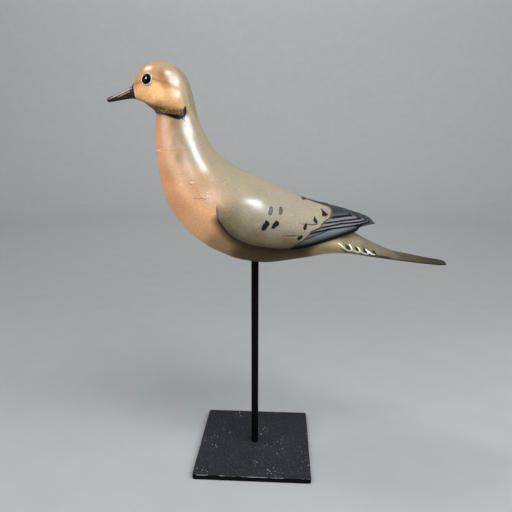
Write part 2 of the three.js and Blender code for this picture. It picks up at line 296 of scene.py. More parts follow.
CHEEK_PATCHES = [
    (-29, 55.5, 2.5, CROWN), (-24, 56, 2.5, CAP),
    (-24.5, 53, 1.7, BROW), (-20, 53, 2.5, OLIVE),
    (-32.3, 51.2, 1.5, FOREHEAD), (-31, 48.3, 2, FACE),
    (-27, 47.8, 2.5, FACE), (-22.5, 47, 2, FACE_REAR),
    (-26.5, 44.8, 1.5, FACE_LOW), (-21.8, 44.2, 1.5, FACE_LOW),
    (-24, 50.4, 1.4, CROWN), (-18.3, 48.7, 2.5, OLIVE),
]
WING_PATCHES = [
    (-6, 19.5, 3, DRAB), (-3, 24, 4, DRAB),
    (-6, 13.5, 3.5, SHADED_OLIVE), (2, 17, 5, SAGE),
    (1, 10, 3, SHADED_OLIVE), (10, 9, 3, SHADED_OLIVE),
    (10, 15, 5, SAGE), (17, 16, 4, SAGE),
    (8, 20, 4, SAGE), (20.5, 15.5, 1.3, RIM_OLIVE),
]

# Brush strokes: each point holds x, z and half the stroke's width in millimetres
CORE_STROKES = {
    "nape": [
        [(-22, 55.3, 0.2), (-19.6, 52.8, 0.9), (-18.2, 49.8, 1.2),
         (-17.6, 47, 1.4), (-17.2, 44.2, 0.8), (-16, 39, -2.5)],
    ],
    "jaw_shade": [
        [(-33.6, 46.3, 0.3), (-31.5, 45.3, 1.2), (-28.6, 44.1, 1.6),
         (-25.6, 43.4, 1.6), (-22.5, 42.8, 1.8), (-19.8, 43, 1.6)],
    ],
    "jaw_line": [
        [(-31, 44.6, 0.1), (-28.6, 43.3, 0.5), (-26.4, 42.9, 0.7), (-24.4, 42.5, 0.8), (-22, 41.9, 1)],
    ],
    "crescent": [
        [(-24.6, 42.5, 0.5), (-22.1, 41.9, 1.4), (-20.8, 41.6, 1.8), (-19.8, 41.8, 1.8),
         (-19.4, 42.7, 1.4), (-19.2, 43.6, 1), (-19.1, 44.6, 0.3)],
        [(-19.6, 41.4, 1.2), (-19.1, 40.2, 0.2)],
    ],
    "eye_line": [
        [(-33.6, 50.5, 0.4), (-31.9, 51, 0.6), (-30.8, 51.2, 0.7)],
        [(-27.7, 51.7, 0.8), (-26.2, 51.3, 0.9), (-24, 50.8, 1.2), (-22.5, 50.2, 1.6), (-21, 49, 1.7)],
    ],
    "seam": [[(-40, 32.7, 0.55), (-26, 32.7, 0.5), (-22, 32.7, 0.1), (-18, 32.7, -0.3)]],
    # Lighter streaks along the bill's top: a painted highlight, broken into streaks by the wood grain
    "bill_top_highlight": [
        [(-41.8, 46.9, 0.2), (-40.2, 47.6, 0.5), (-37.6, 48.75, 0.8),
         (-36.2, 49.4, 0.8), (-34.8, 49.8, 0.5)],
        [(-39.2, 47.3, 0.1), (-37.9, 47.9, 0.3), (-35.6, 48.9, 0.3)],
    ],
    "white_marks": [
        [(23.9, 7.6, 0.4), (24.7, 7, 0.5), (25.6, 6.1, 0.6), (26.4, 5.4, 0.6), (27.2, 5, 0.6),
         (27.8, 5.2, 0.6), (27.9, 5.8, 0.5), (27.5, 6.5, 0.4), (27, 7.1, 0.3)],
        [(27.9, 5.5, 0.5), (28.6, 5.1, 0.6), (29.4, 4.7, 0.7), (30.1, 4.5, 0.8),
         (30.3, 5, 0.6), (30.1, 5.6, 0.4), (29.6, 6.1, 0.3)],
        [(30.3, 5, 0.5), (31.1, 4.4, 0.6), (31.9, 3.9, 0.7), (32.7, 3.8, 0.7),
         (32.8, 4.4, 0.6), (32.4, 4.9, 0.4), (32, 5.4, 0.3)],
        [(32.8, 4.7, 0.5), (33.3, 4.3, 0.6), (33.9, 3.8, 0.6), (34.7, 3.7, 0.5)],
    ],
    "dark_marks": [
        [(26, 7, 0.4), (26.7, 6.2, 1.1), (27.1, 5.8, 0.8)],
        [(28.7, 6.3, 0.3), (29.3, 5.6, 1.1), (29.7, 5.2, 0.7)],
        [(31.2, 5.7, 0.3), (31.8, 5, 1), (32.2, 4.6, 0.7)],
        [(34, 4.9, 0.3), (34.6, 4.4, 1), (34.9, 4, 0.7)],
        [(25.4, 5.6, 0.3), (26.6, 4.4, 0.7), (28.2, 4.2, 0.5), (29.5, 3.7, 0.7)],
        [(30, 3.6, 0.5), (31, 3.5, 0.5), (32.4, 2.9, 0.7), (33.6, 2.8, 0.6), (35, 2.7, 0.5)],
    ],
    "hatching": [
        [(24.4, 8.8, 0.15), (25.4, 7.6, 0.25), (26.3, 6.7, 0.15)],
        [(25.5, 8.7, 0.15), (26.8, 7.3, 0.25), (27.9, 6, 0.15)],
        [(26.8, 8.6, 0.15), (28.2, 7, 0.25), (29.3, 5.8, 0.15)],
        [(28.2, 8.2, 0.15), (29.4, 6.8, 0.25), (30.6, 5.5, 0.15)],
        [(29.6, 7.3, 0.15), (30.8, 6.1, 0.25), (32.1, 5, 0.15)],
        [(31.2, 6.6, 0.15), (32.4, 5.6, 0.25), (33.6, 4.7, 0.15)],
    ],
    # Black along the tail's lower edge: partly a dark painted edge, partly painted shade of the underside
    "tail_edge": [
        [(30, 2.2, 0.3), (34, 1.9, 0.9), (37.5, 1.5, 1.5), (42, 1, 1.5),
         (47, 0.3, 1.4), (52, -0.3, 1.2), (57, -0.5, 1)],
    ],
}
WING_STROKES = {
    "wing_shade": [
        [(-9.6, 17.5, 0.8), (-9, 15, 2.6), (-7.9, 12.8, 4.2),
         (-6.2, 10.6, 5.2), (-3.8, 8.9, 5), (-0.5, 7.6, 4),
         (2.8, 7.2, 3), (6.6, 7, 2.4), (10.5, 7.2, 1.6), (13, 8.6, 0.9)],
    ],
    "black_spots": [
        [(4, 14.4, 1.3), (4.1, 13.9, 2), (3.6, 13.3, 2), (3.2, 12.6, 1.6)],
        [(6.6, 14.4, 1.2), (6.8, 14, 1.7), (6.2, 13.6, 1.7), (5.8, 13.1, 1.4)],
        [(19, 16.8, 0.3), (19.5, 16.1, 1), (19.8, 15.7, 1.5)],
        [(19.3, 15.5, 0.9), (20.6, 15.6, 0.5)],
        [(16.9, 15.2, 0.4), (17, 14.5, 1.3), (17.3, 14.1, 1.2)],
        [(14.5, 13.4, 1.1), (14.2, 12.7, 1.4)],
        [(13.3, 10.5, 1.1), (12.7, 9.9, 1.3)],
        [(19.2, 17.8, 0.3), (20.1, 17.5, 0.5)],
        [(13.7, 19.3, 0.3), (14.6, 19, 0.5)],
    ],
    "grey_spots": [
        [(5.1, 17.9, 1.2), (5.1, 17.2, 1.7), (4.9, 16.6, 1.4)],
        [(7.7, 17.8, 1.1), (7.8, 17.1, 1.5), (7.6, 16.6, 1.2)],
    ],
    "strips": [[(15.9, 11.1, 0.5), (18.9, 12, 1.1), (21.5, 12.5, 1), (23.6, 12.8, 0.4)]],
    "strip_gaps": [
        [(14.5, 9.4, 0.3), (17.3, 10.5, 0.4), (20.8, 11.7, 0.45), (24.4, 12.5, 0.4), (26.5, 12.7, 0.2)],
    ],
    "slits": [
        [(12.4, 13.7, 0.05), (14.5, 13.6, 0.3), (16.4, 13.4, 0.4), (17.8, 13.6, 0.4)],
        [(9, 10.6, 0.05), (10.6, 10.7, 0.3), (12.6, 10.6, 0.3)],
    ],
}

# Fine scratches and creases: both ends, half the width in millimetres, and the paint
SCRATCHES = [
    ((-15.9, 20.1), (-13.6, 20.15), 0.3, SCRATCH_DARK),
    ((-13.8, 20.25), (-12.3, 20.05), 0.45, SCRATCH_DARK),
    ((-14.4, 21.3), (-13.4, 20.5), 0.25, SCRATCH_DARK),
    ((-17.2, 23.9), (-16.2, 23.9), 0.4, SCRATCH_DARK),
    ((-16.8, 24.3), (-16.1, 24.3), 0.45, SCRATCH_LIGHT),
    ((-13.9, 21.2), (-12.9, 20.5), 0.3, SCRATCH_LIGHT),
    ((-12.1, 21.8), (-11.9, 21.7), 0.4, SCRATCH_LIGHT),
    ((-12.1, 21), (-11.9, 20.9), 0.4, SCRATCH_LIGHT),
    ((-19.8, 23.8), (-19.6, 23.8), 0.4, SCRATCH_LIGHT),
]

# Patches of varnish: x, z, how far each spreads, and how much it shines (0 to 1)
GLOSS_PATCHES = [
    (-29.3, 54.6, 1, 0.6), (-26.5, 53.2, 1.5, 0), (-23.3, 53.3, 1, 0.7),
    (-21.8, 51, 1, 0.7), (-21.2, 47.8, 1, 0.7), (-19.2, 48, 1.2, 0),
    (-28, 48, 2.5, 0.1), (-24.5, 46.5, 2, 0), (-18, 51, 2, 0),
    (-18.2, 45, 2, 0), (-16.2, 42, 1.2, 0), (-21.8, 42, 1.2, 0),
    (-19.3, 40.5, 1.3, 0.75), (-18.4, 37, 1.7, 0.9), (-17.2, 34, 1.7, 0.9),
    (-15.8, 31, 1.7, 0.9), (-14.2, 28.3, 1.5, 0.7), (-24.5, 37, 3, 0.25),
    (-21.5, 32, 1.5, 0.1), (-14, 38, 2.2, 0), (-12, 33, 2.2, 0),
    (-12, 25, 2, 0.1), (-8, 23.5, 3, 0), (-5, 21.5, 2, 0),
    (-12, 20, 2, 0.6), (0.3, 19.6, 2.4, 1), (4, 18, 1, 0.2),
    (8, 16.5, 4, 0), (-2, 12, 4, 0.05), (10, 12, 5, 0),
    (26, 12, 6, 0), (28, 5, 5, 0), (45, 1, 8, 0),
    (-22, 15, 6, 0.2), (0, 0, 8, 0),
]

# What the fields hold where a piece has no values of its own. FAR is well outside every shape.
FAR = 50
FIELD_DEFAULTS = {
    "gloss": 0.3,
    "wing": 0,
    "upper_side": 0,
    "bill": -FAR,
    **{f"feather_{index}": -FAR for index in range(len(FEATHERS))},
    **{name: FAR for name in ("shadow_below_wing", "coverts", "low_edge", *CORE_STROKES, *WING_STROKES)},
}


# Numbers along a scale
def smoothstep(low, high, value):
    t = np.clip((value - low) / (high - low), 0, 1)
    return t * t * (3 - 2 * t)


def mix(a, b, share):
    return a + (b - a) * share


# A smooth curve through rows of numbers, at row counts with fractions
def between(rows, at):
    rows = np.array(rows, float)
    i = np.minimum(np.floor(at).astype(int), len(rows) - 2)
    t = (at - i)[:, None]
    start, end = rows[i], rows[i + 1]
    leave = (end - rows[np.maximum(i - 1, 0)]) / 2
    arrive = (rows[np.minimum(i + 2, len(rows) - 1)] - start) / 2
    bend = 2 * (start - end) + leave + arrive
    return start + t * (leave + t * (3 * (end - start) - 2 * leave - arrive + t * bend))


def smooth_line(points, steps=6):
    at = np.linspace(0, len(points) - 1, (len(points) - 1) * steps + 1)
    return [tuple(p) for p in between(points, at)]


# Distances in millimetres in the side view
def off_segment(x, z, start, end):
    """The distance from a straight line, and how far along it the nearest place lies (0 to 1)."""
    (ax, az), (bx, bz) = start, end
    dx, dz = bx - ax, bz - az
    along = np.clip(((x - ax) * dx + (z - az) * dz) / (dx * dx + dz * dz), 0, 1)
    return np.hypot(x - ax - along * dx, z - az - along * dz) * UNIT, along


def line_distance(x, z, line):
    near = np.full(x.shape, np.inf)
    for start, end in zip(line, line[1:]):
        near = np.minimum(near, off_segment(x, z, start, end)[0])
    return near


def stroke_distance(x, z, strokes):
    """The distance outside the nearest stroke. A stroke's points hold x, z and half its width."""
    near = np.full(x.shape, float(FAR))
    for stroke in strokes:
        for (*start, start_half), (*end, end_half) in zip(stroke, stroke[1:]):
            away, along = off_segment(x, z, start, end)
            near = np.minimum(near, away - mix(start_half, end_half, along))
    return near


def region_distance(x, z, outline):
    """Positive inside the outline, negative outside."""
    inside = np.zeros(x.shape, bool)
    loop = outline + outline[:1]
    for (ax, az), (bx, bz) in zip(loop, loop[1:]):
        if az != bz:
            crosses = (az > z) != (bz > z)
            inside ^= crosses & (x < (bx - ax) * (z - az) / (bz - az) + ax)
    edge = line_distance(x, z, loop)
    return np.where(inside, edge, -edge)


def above(edge):
    return edge + [(edge[-1][0], ABOVE), (edge[0][0], ABOVE)]


LOW_EDGE = smooth_line(WING_FRONT + WING_LOW_EDGE)
COVERTS = above(smooth_line(WING_FRONT + COVERT_BELLY + COVERT_RIM))
CHEEKS = above(smooth_line(JAW))
FEATHER_REGIONS = [above(UNDER_COVERTS + feather) for feather in FEATHERS]


# The carving's skin
FINE_STEPS = 4000
SMALLEST_END = 0.02


def rounded_rim(share):
    """A quarter circle, which rises from 0 to 1 while share does."""
    return np.sqrt(1 - (1 - np.clip(share, 0, 1)) ** 2)


def skin_points(sections, angles, lift):
    """Points in millimetres for each section and each angle. Lift says how far each stands out."""
    back_x, back_z, breast_x, breast_z, half, belt = (sections[:, k, None] for k in range(6))
    tall = np.maximum(np.hypot(back_x - breast_x, back_z - breast_z), 1e-6)
    rise = np.sin(angles)
    share = belt + rise * np.where(rise > 0, 1 - belt, belt)
    x, z = mix(breast_x, back_x, share), mix(breast_z, back_z, share)
    proud = lift(x, half * UNIT * np.cos(angles), z)
    share = share + rise * proud / UNIT / tall
    x, z = mix(breast_x, back_x, share), mix(breast_z, back_z, share)
    y = (half * UNIT + proud) * np.cos(angles)
    return np.stack([x * UNIT, y, BELLY_HEIGHT + z * UNIT], axis=-1)


def step_lengths(places):
    """Millimetres from each place in the side view to the next."""
    return np.hypot(*np.diff(places, axis=0).T) * UNIT


def section_places(rows, spacing, start=0.0, end=None):
    """Row counts with fractions along the rows, about spacing(x, z) millimetres apart."""
    end = len(rows) - 1 if end is None else end
    fine = np.linspace(start, end, FINE_STEPS)
    sections = between(rows, fine)
    back, breast = sections[:, 0:2], sections[:, 2:4]
    steps = np.maximum(step_lengths(back), step_lengths(breast)) / spacing(*mix(back, breast, 0.5)[1:].T)
    travelled = np.concatenate([[0], np.cumsum(steps)])
    count = int(math.ceil(travelled[-1]))
    return np.interp(np.linspace(0, travelled[-1], count + 1), travelled, fine)


# Meshes
def mesh_object(name, points, faces):
    mesh = bpy.data.meshes.new(name)
    mesh.from_pydata((np.asarray(points) * MM).tolist(), [], faces)
    mesh.update()
    made = bpy.data.objects.new(name, mesh)
    bpy.context.scene.collection.objects.link(made)
    return made


def vertex_places(mesh):
    """Where the vertices are, in millimetres, one row for each."""
    flat_list = np.zeros(len(mesh.vertices) * 3)
    mesh.vertices.foreach_get("co", flat_list)
    return flat_list.reshape(-1, 3) / MM


def ring_faces(rings, count):
    """Quads between closed rings of count points, and a face at each end."""
    faces = []
    for i in range(rings - 1):
        for j in range(count):
            a, b = i * count + j, i * count + (j + 1) % count
            faces.append((a, b, b + count, a + count))
    faces.append(tuple(reversed(range(count))))
    faces.append(tuple((rings - 1) * count + j for j in range(count)))
    return faces


def rounded_ends(sections, radius):
    """Shrinks the first and last sections, so that the tips are round and not cut off."""
    centre = mix(sections[:, 0:2], sections[:, 2:4], 0.5)
    along = np.concatenate([[0], np.cumsum(step_lengths(centre))])
    from_end = np.minimum(along, along[-1] - along)
    size = rounded_rim(np.maximum(from_end / radius, SMALLEST_END))[:, None]
    made = sections.copy()
    made[:, 0:2] = mix(centre, sections[:, 0:2], size)
    made[:, 2:4] = mix(centre, sections[:, 2:4], size)
    made[:, 4:5] = sections[:, 4:5] * size
    return made


# The core of the carving, without wings
AROUND = 200
CORE_ENDS_RADIUS = 1.0
BILL_TO_X, HEAD_FROM_Z = -36, 40
CROWN_MELT_Z = (45, 50)
NAPE_MELT_X = (-23, -19.6)
NAPE_MELT_Z = (42.5, 45.5)
TAIL_FROM, RUMP_FROM, WINGS_FROM = 36, 22, -8
HEAD_SPACING, TAIL_SPACING, RUMP_SPACING, HIDDEN_SPACING, BREAST_SPACING = 0.5, 1.4, 0.8, 1.8, 1.5
WELD = 1e-7
ANGLES_AROUND = -2 * np.pi * np.arange(AROUND) / AROUND


def cheek_lift(x, y, z):
    """The cheeks stand out, and melt into the crown and the nape."""
    rounded = rounded_rim(region_distance(x, z, CHEEKS) / CHEEK_RIM)
    crown = smoothstep(*CROWN_MELT_Z, z)
    nape = smoothstep(*NAPE_MELT_X, x) * smoothstep(*NAPE_MELT_Z, z)
    on_head = (x > BILL_TO_X) & (z > HEAD_FROM_Z)
    return np.where(on_head, CHEEK_PROUD * rounded * (1 - crown) * (1 - nape), 0)


def core_spacing(x, z):
    places = [z > SEAM_HEIGHT, x > TAIL_FROM, x > RUMP_FROM, x > WINGS_FROM]
    return np.select(places, [HEAD_SPACING, TAIL_SPACING, RUMP_SPACING, HIDDEN_SPACING], BREAST_SPACING)


def core_object(name, keep_below):
    """The core on one side of the glue seam. The seam gapes a little at the front."""
    rows = CARVING + BREAST + NECK_AND_HEAD
    at = section_places(rows, core_spacing)
    sections = rounded_ends(between(rows, at), CORE_ENDS_RADIUS)
    points = skin_points(sections, ANGLES_AROUND, cheek_lift)
    made = mesh_object(name, points.reshape(-1, 3), ring_faces(len(at), AROUND))
    cut = bmesh.new()
    cut.from_mesh(made.data)
    everything = cut.verts[:] + cut.edges[:] + cut.faces[:]
    bmesh.ops.bisect_plane(
        cut, geom=everything, dist=WELD, plane_co=(0, 0, SEAM_Z * MM), plane_no=(0, 0, 1),
        clear_outer=keep_below, clear_inner=not keep_below,
    )
    rim = [edge for edge in cut.edges if edge.is_boundary]
    loop = {vert for edge in rim for vert in edge.verts}
    bmesh.ops.edgeloop_fill(cut, edges=rim)
    for vert in loop:
        open_by = SEAM_OPEN * smoothstep(SEAM_CRACK_END, SEAM_CRACK_START, vert.co.x / MM)
        vert.co.z += (-1 if keep_below else 1) * (SEAM_CLOSED + open_by) * MM / 2
    cut.to_mesh(made.data)
    cut.free()
    outwards(made)
    return made


# The folded wings, a shell over the back that ends at the wings' lower edge
FEATHER_LEVELS = (-1, 0, 1, 2)
LOWEST_LEVEL = -2
SHOULDER_SLOPE = 0.3
SHOULDER_MELT = (18.5, 23.5)
SHOULDER_FLUSH = -0.02
FRONT_MELT_X = (-9.9, -6.8)
FRONT_MELT_Z = (13, 16.5)
FEATHERS_FROM, FRONT_TO = 13, -6
FEATHER_SPACING, FRONT_SPACING, COVERT_SPACING = 0.5, 0.65, 1.2
EDGES_CROWDED = 0.45
UNDERSIDE_STEPS = 9
HALVINGS = 30


def covert_distance(x, y, z):
    """Inside the coverts, which stop short of the dark feathers along the middle of the back."""
    along, half = np.array(DORSAL_STRIPE).T
    return np.minimum(region_distance(x, z, COVERTS), np.abs(y) - np.interp(x, along, half))


def wing_lift(x, y, z):
    """The feathers lie in steps and the coverts over them. The shoulder melts into the back and neck."""
    rounded = rounded_rim(line_distance(x, z, LOW_EDGE) / WING_RIM)
    lowest = LOWEST_LEVEL * FEATHER_STEP
    level = np.full(x.shape, lowest)
    for step, region in zip(FEATHER_LEVELS, FEATHER_REGIONS):
        inside = smoothstep(-FEATHER_RIM / 2, FEATHER_RIM / 2, region_distance(x, z, region))
        level = np.maximum(level, mix(lowest, step * FEATHER_STEP, inside))
    front = smoothstep(*FRONT_MELT_Z, z) - smoothstep(*FRONT_MELT_X, x)
    shoulder = np.maximum(smoothstep(*SHOULDER_MELT, z - SHOULDER_SLOPE * x), front)
    coverts = mix(WING_PROUD, SHOULDER_FLUSH, np.clip(shoulder, 0, 1))
    inside = smoothstep(-COVERT_EDGE / 2, COVERT_EDGE / 2, region_distance(x, z, COVERTS))
    level = mix(level, coverts, inside)
    for slit in COVERT_SLITS:
        level = level - SLIT_DEPTH * np.clip(1 - line_distance(x, z, slit) / SLIT_HALF, 0, 1)
    return mix(-EDGE_SUNK, level, rounded)


def low_share(sections):
    """How far up each section the wings' lower edge crosses it."""
    edge = np.array(LOW_EDGE)
    low, high = np.zeros(len(sections)), np.ones(len(sections))
    for _ in range(HALVINGS):
        share = (low + high) / 2
        x, z = mix(sections[:, 2:4].T, sections[:, 0:2].T, share)
        too_low = z < np.interp(x, edge[:, 0], edge[:, 1], left=ABOVE)
        low = np.where(too_low, share, low)
        high = np.where(too_low, high, share)
    return high


def wing_spacing(x, z):
    return np.select([x > FEATHERS_FROM, x < FRONT_TO], [FEATHER_SPACING, FRONT_SPACING], COVERT_SPACING)


def wing_object():
    rows = WING_HULL + BREAST
    at = section_places(rows, wing_spacing, WING_TIP_AT, WING_FRONT_AT)
    sections = between(rows, at)
    share, belt = low_share(sections), sections[:, 5]
    rise = np.where(share < belt, (share - belt) / belt, (share - belt) / (1 - belt))
    lowest = np.arcsin(np.clip(rise, -1, 1))[:, None]
    v = np.linspace(0, 1, ACROSS_WINGS)
    v = v - EDGES_CROWDED * np.sin(2 * np.pi * v) / (2 * np.pi)
    over = skin_points(sections, lowest + (np.pi - 2 * lowest) * v, wing_lift)
    tips = np.array(WING_TIP_TOP)
    slant = np.interp(over[..., 0] / UNIT, tips[:, 0], tips[:, 1], left=ABOVE) * UNIT + BELLY_HEIGHT
    slant = np.maximum(slant, over[:, :1, 2] + TIP_THICKNESS)
    over[:, 1:-1, 2] = np.minimum(over[:, 1:-1, 2], slant[:, 1:-1])
    under = mix(over[:, -1:], over[:, :1], np.linspace(0, 1, UNDERSIDE_STEPS)[None, 1:-1, None])
    points = np.concatenate([over, under], axis=1)
    made = mesh_object("wings", points.reshape(-1, 3), ring_faces(len(at), points.shape[1]))
    outwards(made)
    cut_away(made, tip_groove())
    return made


def tip_groove():
    """A wedge from above that parts the two wing tips."""
    rings = []
    for x, z, half in TIP_GROOVE:
        low, high = BELLY_HEIGHT + z * UNIT, BELLY_HEIGHT + ABOVE * UNIT
        corners = [(half, low), (half, high), (-half, high), (-half, low)]
        rings += [(x * UNIT, y, height) for y, height in corners]
    made = mesh_object("tip_groove", rings, ring_faces(2, 4))
    outwards(made)
    return made


def cut_away(made, cutter):
    cut = made.modifiers.new("cut", "BOOLEAN")
    cut.operation = "DIFFERENCE"
    cut.solver = "EXACT"
    cut.object = cutter
    bpy.context.view_layer.objects.active = made
    bpy.ops.object.modifier_apply(modifier=cut.name)
    bpy.data.objects.remove(cutter)


# The paint's fields: numbers kept on every vertex, which the materials turn into colours.
# A fade moves an edge away by some millimetres, from the first to the second x or z.
PATCH_CENTRE = 0.35
CHEEK_MELT = 0.6
COVER_MELT = (18.5, 23.0)
COVER_FRONT_X = (-10.4, -6.0)
COVER_FRONT_Z = (17.0, 20.5)
SHADE_FADE_Z, SHADE_FADE_X = (12, 14, 18), (7, 15, 22)
EDGE_FADE_Z, EDGE_FADE_X = (12, 13.5, 18), (3, 30.4, 31.6)


def fade(by, start, end, value):
    return by * smoothstep(start, end, value)


def melted(x, z, patches):
    """Values that melt into each other around the patches' places."""
    total, weight = 0, np.zeros(x.shape)
    for at_x, at_z, spread, value in patches:
        near = (((x - at_x) ** 2 + (z - at_z) ** 2) / spread**2 + PATCH_CENTRE) ** -2
        total = total + near[..., None] * np.atleast_1d(value)
        weight += near
    return total / weight[..., None]


def side_view(mesh):
    """The vertices' x and z in hundredths, and y in millimetres."""
    x, y, z = vertex_places(mesh).T
    return x / UNIT, y, (z - BELLY_HEIGHT) / UNIT


def keep_fields(mesh, colour, own):
    """Keeps the airbrushed colour and every field, with its default where the piece has none of its own."""
    made = mesh.attributes.new("airbrush", "FLOAT_VECTOR", "POINT")
    made.data.foreach_set("vector", colour.astype(np.float32).ravel())
    for name, default in FIELD_DEFAULTS.items():
        values = own.get(name, np.full(len(mesh.vertices), default))
        made = mesh.attributes.new(name, "FLOAT", "POINT")
        made.data.foreach_set("value", values.astype(np.float32))


def paint_core(mesh):
    x, _, z = side_view(mesh)
    cheek = smoothstep(-CHEEK_MELT, CHEEK_MELT, region_distance(x, z, CHEEKS)) * (z > HEAD_FROM_Z)
    colour = mix(melted(x, z, BODY_PATCHES), melted(x, z, CHEEK_PATCHES), cheek[:, None])
    own = {name: stroke_distance(x, z, strokes) for name, strokes in CORE_STROKES.items()}
    own["gloss"] = melted(x, z, GLOSS_PATCHES)[:, 0]
    # Distance below the wings' lower edge, for the shadow painted on the body there
    own["shadow_below_wing"] = line_distance(x, z, LOW_EDGE) + fade(*SHADE_FADE_Z, z) + fade(*SHADE_FADE_X, x)
    own["bill"] = bill_distance(x, z)
    keep_fields(mesh, colour, own)


def paint_wings(mesh):
    x, y, z = side_view(mesh)
    front = smoothstep(*COVER_FRONT_Z, z) * (1 - smoothstep(*COVER_FRONT_X, x))
    body = np.maximum(smoothstep(*COVER_MELT, z - SHOULDER_SLOPE * x), front)
    colour = mix(melted(x, z, WING_PATCHES), melted(x, z, BODY_PATCHES), body[:, None])
    own = {name: stroke_distance(x, z, strokes) for name, strokes in WING_STROKES.items()}
    own["gloss"] = melted(x, z, GLOSS_PATCHES)[:, 0]
    own["wing"] = np.ones(x.shape)
    own["coverts"] = covert_distance(x, y, z)
    own["low_edge"] = line_distance(x, z, LOW_EDGE) + fade(*EDGE_FADE_Z, z) + fade(*EDGE_FADE_X, x)
    own["upper_side"] = (z - FEATHER_TIPS_AT[1] + FEATHER_TIPS_SLANT * (x - FEATHER_TIPS_AT[0])) * UNIT
    for index, region in enumerate(FEATHER_REGIONS):
        own[f"feather_{index}"] = region_distance(x, z, region)
    keep_fields(mesh, colour, own)


def paint_lid(mesh):
    keep_fields(mesh, np.tile(LID, (len(mesh.vertices), 1)), {})


def bill_distance(x, z):
    """Millimetres inside the painted bill, which starts at a line across its base."""
    (ax, az), (bx, bz) = BILL_BASE
    length = math.hypot(bx - ax, bz - az)
    return ((x - ax) * (bz - az) - (z - az) * (bx - ax)) / length * UNIT


# Joined and turned shapes, the eyes and the stand
NEAR_AXIS = 0.01
EYE_RINGS, EYE_STEPS = 24, 64
LID_RINGS, LID_STEPS = 12, 72
ROD_RINGS, ROD_STEPS = 60, 64
ROD_RINGS_FROM = 2
PLATE_RINGS = (2, 6, 15, 30)
PLATE_EASED = 0.3
CORNER_STEPS, SMALLEST_CORNER = 8, 0.3


def joined(name, parts):
    """One object of several closed shells."""
    bpy.ops.object.select_all(action="DESELECT")
    for part in parts:
        part.select_set(True)
    bpy.context.view_layer.objects.active = parts[0]
    bpy.ops.object.join()
    parts[0].name = name
    parts[0].data.name = name
    return parts[0]


def outwards(made):
    turned = bmesh.new()
    turned.from_mesh(made.data)
    bmesh.ops.recalc_face_normals(turned, faces=turned.faces[:])
    turned.to_mesh(made.data)
    turned.free()


def turned_shape(name, profile, centre, axis, steps, closed=False):
    """A profile of (radius, height) turned round an axis. Open profiles start and end near it."""
    out = Vector(axis).normalized()
    across = out.orthogonal().normalized()
    other = out.cross(across)
    points = []
    for radius, height in profile:
        for angle in ring_angles(steps):
            spoke = across * math.cos(angle) + other * math.sin(angle)
            points.append(tuple(Vector(centre) + spoke * radius + out * height))
    faces = ring_faces(len(profile), steps)
    if closed:
        last = (len(profile) - 1) * steps
        faces = faces[:-2]
        faces += [(last + j, last + (j + 1) % steps, (j + 1) % steps, j) for j in range(steps)]
    made = mesh_object(name, points, faces)
    outwards(made)
    return made


def ring_angles(count):
    return [2 * math.pi * step / count for step in range(count)]


def eye_place(node):
    """The middle of a CAD eye and the way it faces, in millimetres."""
    spots = vertex_places(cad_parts[node].data)
    centre = (spots.max(axis=0) + spots.min(axis=0)) / 2 - (0, 0, EYE_LOWER)
    axis = np.linalg.svd(spots - spots.mean(axis=0), full_matrices=False)[2][2]
    return centre, axis * np.sign(axis[1] * centre[1])


def eyelid(node):
    centre, axis = eye_place(node)
    middle = centre + axis * EYE_SUNK
    profile = [
        (LID_RADIUS + LID_HALF * math.cos(angle), LID_HIGH * math.sin(angle))
        for angle in ring_angles(LID_RINGS)
    ]
    return turned_shape("lid", profile, middle, axis, LID_STEPS, closed=True)


def glass_eye(name, node):
    centre, axis = eye_place(node)
    radius = EYE_DIAMETER / 2
    profile = [
        (max(radius * math.cos(angle), NEAR_AXIS), radius * EYE_DOMED * math.sin(angle))
        for angle in np.linspace(-math.pi / 2, math.pi / 2, EYE_RINGS + 1)
    ]
    return turned_shape(name, profile, centre, axis, EYE_STEPS)


def plate_object():
    """Rings round the plate's outline, from the underside over the eased edges to the top."""
    half = PLATE_SIDE / 2
    eased = PLATE_EDGE * PLATE_EASED
    levels = [(PLATE_EDGE, 0.0), (eased, eased), (0.0, PLATE_EDGE)]
    levels += [(inset, PLATE_THICKNESS - z) for inset, z in reversed(levels)]
    levels += [(inset, PLATE_THICKNESS) for inset in PLATE_RINGS]
    points = []
    for inset, z in levels:
        radius = max(PLATE_CORNER - inset, SMALLEST_CORNER)
        inner = half - inset - radius
        for corner, (sx, sy) in enumerate(((1, 1), (-1, 1), (-1, -1), (1, -1))):
            for step in range(CORNER_STEPS + 1):
                angle = math.pi / 2 * (corner + step / CORNER_STEPS)
                x, y = sx * inner + radius * math.cos(angle), sy * inner + radius * math.sin(angle)
                points.append((x, y, z))
    made = mesh_object("plate", points, ring_faces(len(levels), 4 * (CORNER_STEPS + 1)))
    outwards(made)
    return made


def rod_object():
    radius = ROD_DIAMETER / 2
    bottom = PLATE_THICKNESS - ROD_IN_PLATE + ROD_CLEARANCE
    top = BELLY_HEIGHT + ROD_IN_BELLY
    profile = [(NEAR_AXIS, bottom), (radius - ROD_EDGE, bottom), (radius, bottom + ROD_EDGE)]
    profile += [(radius, z) for z in np.linspace(bottom + ROD_RINGS_FROM, top - ROD_RINGS_FROM, ROD_RINGS)]
    profile += [(radius, top - ROD_EDGE), (radius - ROD_EDGE, top), (NEAR_AXIS, top)]
    return turned_shape("stand_rod", profile, (0, 0, 0), (0, 0, 1), ROD_STEPS)


# Materials. Shares go from 0 to 1, and most fields are distances in millimetres.
class Value:
    """What a node works out at each place: a number, a colour or a direction."""

    def __init__(self, paint, made, output=0):
        self.paint = paint
        self.socket = made.outputs[output]

    def __add__(self, other):
        return self.paint.math("ADD", self, other)

    def __sub__(self, other):
        return self.paint.math("SUBTRACT", self, other)

    def __mul__(self, other):
        return self.paint.math("MULTIPLY", self, other)


